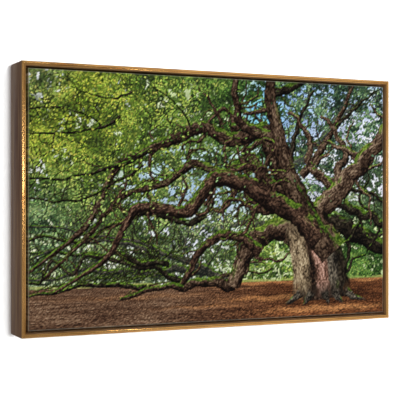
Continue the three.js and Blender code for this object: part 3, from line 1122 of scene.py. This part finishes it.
class PICTURE_OT_moulding(Operator):
    """Draws the four lengths of gold floater moulding"""

    bl_idname = "picture.moulding"
    bl_label = "Moulding"

    def profile(self, settings):
        """The moulding's section: a lip with a bead, a groove and a small inner bead."""
        lip, deep = settings.lip, settings.groove
        ease = 0.5 * MM
        back_of_lip = BACK - settings.flange
        return [
            (0, BACK),
            (0, FRONT + 2 * ease),
            (ease * 0.4, FRONT + 0.7 * ease),
            (ease * 1.4, FRONT),
            (lip * 0.46, FRONT + 0.1 * ease),
            (lip * 0.56, FRONT + deep),
            (lip * 0.6, FRONT + deep),
            (lip * 0.7, FRONT + 0.1 * ease),
            (lip - ease, FRONT + 0.16 * ease),
            (lip, FRONT + 1.2 * ease),
            (lip, back_of_lip),
            (FLANGE_REACH, back_of_lip),
            (FLANGE_REACH, BACK),
        ]

    def countersink(self, rail, screw):
        """Cuts a screw's seat out of the back of a rail, narrower as it goes in."""
        middle = middle_of(screw)
        deselect()
        bpy.ops.mesh.primitive_cylinder_add(
            vertices=24,
            radius=SEAT_RADIUS,
            depth=SEAT_DEPTH,
            location=(middle.x, BACK + SEAT_PROUD, middle.z),
            rotation=(pi / 2, 0, 0),
        )
        cutter = bpy.context.object
        settle(cutter)
        edit("FACE")
        pick("faces", lambda f: f.normal.y < -0.9)
        bpy.ops.transform.resize(value=(SEAT_TAPER, 1, SEAT_TAPER))
        leave_edit()
        cut_away(rail, cutter)

    def pocket(self, rail, hanger):
        """Cuts a hanger's round-ended pocket out of the back of a rail."""
        middle = middle_of(hanger)
        deselect()
        place = (middle.x, BACK, middle.z)
        bpy.ops.mesh.primitive_cube_add(size=1, location=place, scale=POCKET_SIZE)
        cutter = bpy.context.object
        settle(cutter)
        edit("EDGE")
        pick("edges", lambda e: abs(e.verts[0].co.y - e.verts[1].co.y) > MM)
        bpy.ops.mesh.bevel(offset=POCKET_CORNER, segments=4)
        leave_edit()
        cut_away(rail, cutter)

    def execute(self, context):
        settings = context.scene.picture_moulding
        finishes = gold_leaf(settings), bronze_lacquer(settings), umber_wash()

        def make(name, length):
            rail = drawn_length(name, self.profile(settings), length)
            ease_edges(rail, 0.12 * MM, 40)
            for face in rail.data.polygons:
                inset, y = face.center.z, face.center.y
                inner_wall = face.normal.z > 0.5 and inset < settings.lip + 0.1 * MM
                in_gap = inset > settings.lip and face.normal.y < -0.5
                if y < FRONT + LEAF_DEPTH:
                    face.material_index = 0
                elif inner_wall or in_gap:
                    face.material_index = 2
                else:
                    face.material_index = 1
            return rail

        for side, rail in round_the_picture(make, "moulding_{}").items():
            for finish in finishes:
                rail.data.materials.append(finish)
            for screw in nodes_named("screw_" + side):
                self.countersink(rail, screw)
            for hanger in nodes_named("hanger_") if side == "top" else ():
                self.pocket(rail, hanger)
            keep_lengthways(rail, side)
            smooth(rail, 25)
            finish_piece(rail, "moulding")
            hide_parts("frame_" + side)
        return {"FINISHED"}


class PICTURE_OT_bars(Operator):
    """Draws the four pine stretcher bars under the canvas"""

    bl_idname = "picture.bars"
    bl_label = "Stretcher bars"

    def execute(self, context):
        settings = context.scene.picture_bars
        wide = BAR_HIGH.z - BAR_LOW.z
        front, back = BAR_LOW.y, BAR_HIGH.y
        # A raised edge that the canvas turns over, and a face that falls away from it.
        profile = [
            (BAR_INSET, back),
            (BAR_INSET, front + MM),
            (BAR_INSET + 0.6 * MM, front + 0.2 * MM),
            (BAR_INSET + 2 * MM, front),
            (BAR_INSET + settings.bead, front + 0.6 * MM),
            (BAR_INSET + wide, front + 3.5 * MM),
            (BAR_INSET + wide, back),
        ]
        pine = planed_pine(settings)

        def make(name, length):
            bar = drawn_length(name, profile, length)
            ease_edges(bar, 0.8 * MM, 60)
            return bar

        for side, bar in round_the_picture(make, "bar_{}").items():
            keep_lengthways(bar, side)
            smooth(bar, 25)
            finish_piece(bar, "pine", pine)
            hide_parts("stretcher_" + side)
        return {"FINISHED"}


# The cloth's map ends this far inside the unit square, in the cloth's own size.
MAP_MARGIN = 4 * MM


class PICTURE_OT_canvas(Operator):
    """Stretches the printed canvas over the bars"""

    bl_idname = "picture.canvas"
    bl_label = "Canvas"

    def cloth(self, settings):
        """A grid of points across the face, its edge pushed out and back round the bars."""
        ease = settings.corner
        middle = (CANVAS_LOW + CANVAS_HIGH) / 2
        wide, deep, tall = CANVAS_HIGH - CANVAS_LOW
        deselect()
        bpy.ops.mesh.primitive_grid_add(
            x_subdivisions=COLUMNS - 1,
            y_subdivisions=ROWS - 1,
            size=1,
            location=(middle.x, CANVAS_LOW.y, middle.z),
            rotation=(pi / 2, 0, 0),
        )
        cloth = bpy.context.object
        cloth.name = cloth.data.name = "canvas_print"
        cloth.scale = (wide - 2 * ease, tall - 2 * ease, 1)
        settle(cloth)
        # The section from the face's edge to the end of the turned cloth.
        section = [
            (ease, 0),
            (ease * 0.3, ease * 0.3),
            (0, ease),
            (0, deep / 2),
            (0, deep - ease),
            (ease * 0.3, deep - ease * 0.3),
            (ease, deep),
            (settings.fold, deep),
        ]
        edit("EDGE")
        pick("edges", lambda e: e.is_boundary)
        for (inset, y), (next_inset, next_y) in zip(section, section[1:]):
            bpy.ops.mesh.extrude_edges_move(TRANSFORM_OT_translate={"value": (0, next_y - y, 0)})
            wider = (wide - 2 * next_inset) / (wide - 2 * inset)
            taller = (tall - 2 * next_inset) / (tall - 2 * inset)
            bpy.ops.transform.resize(value=(wider, 1, taller), center_override=middle)
        leave_edit()
        bends = [np.hypot(b[0] - a[0], b[1] - a[1]) for a, b in zip(section, section[1:])]
        return cloth, np.concatenate([[0], np.cumsum(bends)])

    def colour(self, cloth, settings, rings):
        """Lays the painting on the cloth's points, carried on round its edges."""
        painting = Painting(settings.seed).finished()
        mesh = cloth.data
        count = len(mesh.vertices)
        places = points_of(mesh)
        ease = settings.corner
        wide, _, tall = CANVAS_HIGH - CANVAS_LOW
        across = (places[:, 0] - CANVAS_LOW.x - ease) / (wide - 2 * ease)
        up = (places[:, 2] - CANVAS_LOW.z - ease) / (tall - 2 * ease)
        column = np.clip(np.rint(across * (COLUMNS - 1)), 0, COLUMNS - 1).astype(int)
        row = np.clip(np.rint(up * (ROWS - 1)), 0, ROWS - 1).astype(int)
        tones = painting[row, column]
        # Each row of the section added a ring of points, and they follow the face's own.
        face, edge = COLUMNS * ROWS, 2 * (COLUMNS + ROWS) - 4
        ring = np.zeros(count, dtype=int)
        ring[face:] = 1 + (np.arange(count - face)) // edge
        wrapped = ring > 0
        # The turned sides are washed towards a pale grey: painted light, so that they look lit in the
        # dim gap.
        tones[wrapped] = tones[wrapped] * 0.5 + ink("a8a890") * 0.45
        # Where the cloth turns round the bar it is painted paler: a painted highlight on the rounded
        # edge, which also stands for primer showing through the cracked print.
        turned = ring == 1
        tones[turned] = tones[turned] * 0.65 + ink("d8d6c8") * 0.32
        tones[ring >= len(rings) - 2] = ink("e6e2d6")
        layer = mesh.color_attributes.new("print", "FLOAT_COLOR", "POINT")
        colours = np.ones((count, 4), dtype=np.float32)
        colours[:, :3] = to_linear(tones)
        layer.data.foreach_set("color", colours.ravel())
        return rings[ring]

    def unfold(self, cloth, settings, wrap):
        """A map of the cloth as it was cut: flat, with its edges turned out."""
        mesh = cloth.data
        hem = wrap.max()
        wide, _, tall = CANVAS_HIGH - CANVAS_LOW
        layout = mesh.uv_layers.new(name="OFBake")
        loops = np.empty(len(mesh.loops), dtype=np.int32)
        mesh.loops.foreach_get("vertex_index", loops)
        places = points_of(mesh)
        centres = np.empty(len(mesh.polygons) * 3, dtype=np.float32)
        mesh.polygons.foreach_get("center", centres)
        centres = centres.reshape(-1, 3)
        gaps = np.stack(
            [
                centres[:, 0] - CANVAS_LOW.x,
                CANVAS_HIGH.x - centres[:, 0],
                centres[:, 2] - CANVAS_LOW.z,
                CANVAS_HIGH.z - centres[:, 2],
            ]
        )
        # The side that each face is nearest to: left, right, bottom or top.
        side = np.repeat(gaps.argmin(0), [len(p.vertices) for p in mesh.polygons])
        out = wrap[loops]
        x = places[loops, 0] - CANVAS_LOW.x
        z = places[loops, 2] - CANVAS_LOW.z
        beyond = out > 0
        flat_x = np.where(beyond & (side == 0), settings.corner - out, x)
        flat_x = np.where(beyond & (side == 1), wide - settings.corner + out, flat_x)
        flat_z = np.where(beyond & (side == 2), settings.corner - out, z)
        flat_z = np.where(beyond & (side == 3), tall - settings.corner + out, flat_z)
        span = wide + 2 * hem + MAP_MARGIN
        points = np.stack([flat_x + hem, flat_z + hem], 1) / span
        layout.data.foreach_set("uv", points.astype(np.float32).ravel())
        return wide + 2 * hem, tall + 2 * hem

    def reverse(self):
        """The cloth's unprimed back, which shows between the bars."""
        middle = (CANVAS_LOW + CANVAS_HIGH) / 2
        deselect()
        bpy.ops.mesh.primitive_grid_add(
            x_subdivisions=48,
            y_subdivisions=30,
            size=1,
            location=(middle.x, CANVAS_LOW.y + CLOTH_THICKNESS, middle.z),
            rotation=(-pi / 2, 0, 0),
        )
        back = bpy.context.object
        back.name = back.data.name = "canvas_reverse"
        back.scale = (*REVERSE_SIZE, 1)
        settle(back)
        return back

    def execute(self, context):
        settings = context.scene.picture_canvas
        cloth, rings = self.cloth(settings)
        wrap = self.colour(cloth, settings, rings)
        flat = self.unfold(cloth, settings, wrap)
        only(cloth)
        bpy.ops.object.shade_smooth()
        back = self.reverse()
        finish_piece(cloth, "canvas", printed_canvas(settings))
        finish_piece(back, "canvas", raw_canvas(settings))
        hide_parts("canvas")
        return {"FINISHED"}


# A wood screw: its head's straight edge, then the radius that each part narrows
# to and its length, and the cross in its head.
SCREW_HEAD_EDGE = 0.6 * MM
SCREW_SHANK = ((1.7 * MM, 2.0 * MM), (1.6 * MM, 22 * MM), (0.25 * MM, 4.6 * MM))
CROSS_SIZE = (4.2 * MM, 2.4 * MM, 0.9 * MM)
CROSS_TAPER = 0.35

# Staples stand this far in from a bar's outer edge, and wander this far along it.
STAPLE_INSET = 18 * MM
STAPLE_WANDER = 3 * MM


class PICTURE_OT_hardware(Operator):
    """Adds the screws and staples at the back, and gives the hangers, nails and bumpers their finishes
    """

    bl_idname = "picture.hardware"
    bl_label = "Hardware"

    def screw(self):
        """A countersunk wood screw with a cross recess, modelled at the origin facing +Y."""
        low, high = (Vector(end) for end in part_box("screw_top_1"))
        deselect()
        bpy.ops.mesh.primitive_cylinder_add(
            vertices=32,
            radius=(high.x - low.x) / 2,
            depth=SCREW_HEAD_EDGE,
            rotation=(-pi / 2, 0, 0),
        )
        screw = bpy.context.object
        settle(screw)
        edit("FACE")
        pick("faces", lambda f: f.normal.y < -0.9)
        for radius, depth in SCREW_SHANK:
            bpy.ops.mesh.extrude_region_move(TRANSFORM_OT_translate={"value": (0, -depth, 0)})
            now = max(v.co.x for v in bmesh.from_edit_mesh(screw.data).verts if v.select)
            narrow = (radius / now, 1, radius / now)
            bpy.ops.transform.resize(value=narrow, center_override=(0, 0, 0))
        leave_edit()
        ease_edges(screw, 0.12 * MM, 40)
        for turn in (0, pi / 2):
            deselect()
            bpy.ops.mesh.primitive_cube_add(size=1, scale=CROSS_SIZE, rotation=(0, turn, 0))
            slot = bpy.context.object
            settle(slot)
            edit("FACE")
            pick("faces", lambda f: f.normal.y < -0.9)
            bpy.ops.transform.resize(value=(CROSS_TAPER, 1, CROSS_TAPER))
            leave_edit()
            cut_away(screw, slot)
        return screw

    def staple(self, settings):
        """A staple's crown with its two bent shoulders, modelled at the origin facing +Y."""
        wide, wire = settings.staple, settings.wire
        deselect()
        crown = (wide * 0.6, wire, wire * 1.3)
        bpy.ops.mesh.primitive_cube_add(size=1, location=(0, wire / 2, 0), scale=crown)
        staple = bpy.context.object
        settle(staple)
        edit("FACE")
        for end in (-1, 1):
            pick("faces", lambda f: f.normal.x * end > 0.9)
            for out, down in ((0.14, 0.12), (0.06, 0.7)):
                step = (end * wide * out, -wire * down, 0)
                bpy.ops.mesh.extrude_region_move(TRANSFORM_OT_translate={"value": step})
        leave_edit()
        ease_edges(staple, wire * 0.2, 50)
        return staple

    def staples(self, settings):
        """The staples along each bar, not quite straight nor evenly spaced, as one piece."""
        row = []
        one = self.staple(settings)
        chance = np.random.default_rng(5)
        for side, turn in SIDES.items():
            along = length_of(side) - 2 * settings.pitch
            away = far_out(side) - BAR_INSET - STAPLE_INSET
            count = round(along / settings.pitch)
            for k in range(count):
                place = (k + 0.5 - count / 2) * along / count
                place += chance.uniform(-STAPLE_WANDER, STAPLE_WANDER)
                twin = copied(one, "staple")
                twin.rotation_euler = (0, turn + chance.uniform(-0.15, 0.15), 0)
                step = Vector((cos(turn) * place, 0, -sin(turn) * place))
                out = Vector((-sin(turn), 0, -cos(turn))) * away
                twin.location = MIDDLE + step + out + Vector((0, CANVAS_HIGH.y, 0))
                settle(twin)
                row.append(twin)
        bpy.data.objects.remove(one)
        return joined(row, "staples")

    def execute(self, context):
        settings = context.scene.picture_hardware
        zinc = plated("Steel, zinc plated", "b9bcbe", 0.3)
        brass = plated("Steel, brass plated", "b89850", 0.42)
        rubber = moulded_rubber()
        first = self.screw()
        for node in nodes_named("screw_"):
            low, high = (Vector(end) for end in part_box(node))
            middle = middle_of(node)
            screw = copied(first, node.replace("screw", "woodscrew"))
            # Each was driven home to another angle.
            screw.rotation_euler = (0, 0.4 + 1.1 * len(node) + low.x * 9, 0)
            screw.location = (middle.x, high.y - SCREW_HEAD_EDGE / 2, middle.z)
            settle(screw)
            smooth(screw, 30)
            finish_piece(screw, "steel", zinc)
            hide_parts(node)
        bpy.data.objects.remove(first)
        finish_piece(self.staples(settings), "steel", zinc)
        for node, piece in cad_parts.items():
            if node.startswith(("hanger_", "nail_", "bumper_")):
                piece.data.materials.clear()
                piece.data.materials.append(rubber if node.startswith("bumper_") else brass)
        return {"FINISHED"}


# The room, and the camera's place in heights of the frame.
WALL_SIZE, FLOOR_SIZE = 8, 16
WALL_GAP = 2 * MM
FLOOR_DROP = 1.5
CAMERA_LEFT, CAMERA_BACK = 1.7667, 3.654
CAMERA_DROP = 0.6 * MM


class PICTURE_OT_stage(Operator):
    """Sets up the wall, the floor, the lights and the camera"""

    bl_idname = "picture.stage"
    bl_label = "Stage"

    def plain(self, name, code, one_sided=False):
        """Matt paint, rolled: an even, pale surface with a faint stipple."""
        m = new_material(name)
        at = add(m, "TexCoord")
        stipple = add(m, "TexNoise", Vector=(at, "Object"), Scale=every(1.1), Detail=2)
        bump = add(m, "Bump", Strength=0.03, Distance=0.1 * MM, Height=(stipple, 0))
        paint = add(m, "BsdfPrincipled", Base_Color=linear(code), Roughness=0.9, Normal=(bump, 0))
        if one_sided:
            side = add(m, "NewGeometry")
            clear = add(m, "BsdfTransparent")
            paint = add(m, "MixShader", in0=(side, "Backfacing"), in1=(paint, 0), in2=(clear, 0))
        add(m, "OutputMaterial", Surface=(paint, 0))
        return m

    def sheet_of(self, name, size, place, turn, material):
        """A flat square of the stage."""
        deselect()
        bpy.ops.mesh.primitive_plane_add(size=size, location=place, rotation=turn)
        plane = bpy.context.object
        plane.name = plane.data.name = name
        settle(plane)
        plane.data.materials.append(material)
        return plane

    def light(self, name, place, size, power):
        """A square lamp that faces the picture, its place measured from the middle."""
        bpy.ops.object.light_add(type="AREA", location=MIDDLE + Vector(place))
        lamp = bpy.context.object
        lamp.name = name
        lamp.rotation_euler = (-Vector(place)).to_track_quat("-Z", "Y").to_euler()
        lamp.data.size = size
        lamp.data.energy = power
        return lamp

    def light_only(self, lamp, lit):
        """Keeps a lamp's light to some of the pieces."""
        lit_pieces = bpy.data.collections.new("lit by " + lamp.name)
        for piece in lit:
            lit_pieces.objects.link(piece)
        lamp.light_linking.receiver_collection = lit_pieces

    def execute(self, context):
        settings = context.scene.picture_stage
        scene = context.scene
        paint = self.plain("Wall paint, rolled", "fbfbfb", one_sided=True)
        wall = self.sheet_of("wall", WALL_SIZE, (0, BACK + WALL_GAP, 0), (pi / 2, 0, 0), paint)
        # The wall is seen, and takes the shadow, but it doesn't darken the back.
        wall.visible_diffuse = False
        wall.visible_glossy = False
        wall.visible_shadow = False
        paint = self.plain("Floor, pale paint", "eeeeec")
        self.sheet_of("floor", FLOOR_SIZE, (0, 0, MIDDLE.z - FLOOR_DROP), (0, 0, 0), paint)

        # A broad lamp in front, to the right and above.
        key = self.light("key", (0.67, -3.0, 0.55), 1.3, 45)
        key.visible_glossy = False
        # A pale card for the metal to reflect.
        card = self.light("card", (2.0, -3.0, -0.15), 2.2, 11)
        card.visible_diffuse = False
        # A small lamp that gives the left lip its glint.
        glint = self.light("glint", (0.60, -3.0, 0.1), 0.16, 2.4)
        glint.visible_diffuse = False
        self.light("rim", (3.2, -1.6, 0.3), 1.0, 14)
        # A narrow lamp beside the camera that only washes the wall.
        wash = self.light("wash", (-0.11, -3.0, -0.02), 0.27, 54)
        wash.visible_glossy = False
        self.light_only(wash, [wall])
        # A low lamp that only shines up into the gap under the top rail.
        lift = self.light("lift", (0.2, -2.6, -1.3), 0.6, 40)
        lift.visible_glossy = False
        self.light_only(lift, [bpy.data.objects["moulding_" + side] for side in SIDES])
        # A broad lamp behind, for the bars and the hangers.
        self.light("back_fill", (0.5, 2.0, 0.4), 1.6, 20)
        world = bpy.data.worlds.new("Studio")
        scene.world = world
        world.use_nodes = True
        background = world.node_tree.nodes["Background"]
        background.inputs["Color"].default_value = (1, 1, 1, 1)
        background.inputs["Strength"].default_value = 0.42
        scene.view_settings.view_transform = "Standard"

        bpy.ops.object.camera_add(rotation=(pi / 2, 0, -settings.turn))
        camera = bpy.context.object
        camera.data.sensor_width = 36
        camera.data.lens = settings.lens
        height = TOP - BOTTOM
        camera.location = (
            MIDDLE.x - CAMERA_LEFT * height,
            FRONT - CAMERA_BACK * height,
            MIDDLE.z - CAMERA_DROP,
        )
        scene.camera = camera
        return {"FINISHED"}


OPERATORS = (
    PICTURE_OT_moulding,
    PICTURE_OT_bars,
    PICTURE_OT_canvas,
    PICTURE_OT_hardware,
    PICTURE_OT_stage,
)


class PICTURE_PT_panel(Panel):
    """The picture's settings and the buttons that build it"""

    bl_idname = "PICTURE_PT_panel"
    bl_label = "Framed canvas picture"
    bl_space_type = "VIEW_3D"
    bl_region_type = "UI"
    bl_category = "Picture"

    def draw(self, context):
        for operator, group in zip(OPERATORS, SETTINGS):
            box = self.layout.box()
            settings = getattr(context.scene, group)
            for name in settings.__annotations__:
                box.prop(settings, name)
            box.operator(operator.bl_idname)


CLASSES = (*SETTINGS.values(), *OPERATORS, PICTURE_PT_panel)


def register():
    for each in CLASSES:
        bpy.utils.register_class(each)
    for name, group in SETTINGS.items():
        setattr(bpy.types.Scene, name, PointerProperty(type=group))


def unregister():
    for name in SETTINGS:
        delattr(bpy.types.Scene, name)
    for each in reversed(CLASSES):
        bpy.utils.unregister_class(each)


def main():
    register()
    bpy.ops.picture.moulding()
    bpy.ops.picture.bars()
    bpy.ops.picture.canvas()
    bpy.ops.picture.hardware()
    bpy.ops.picture.stage()


if __name__ == "__main__":
    main()
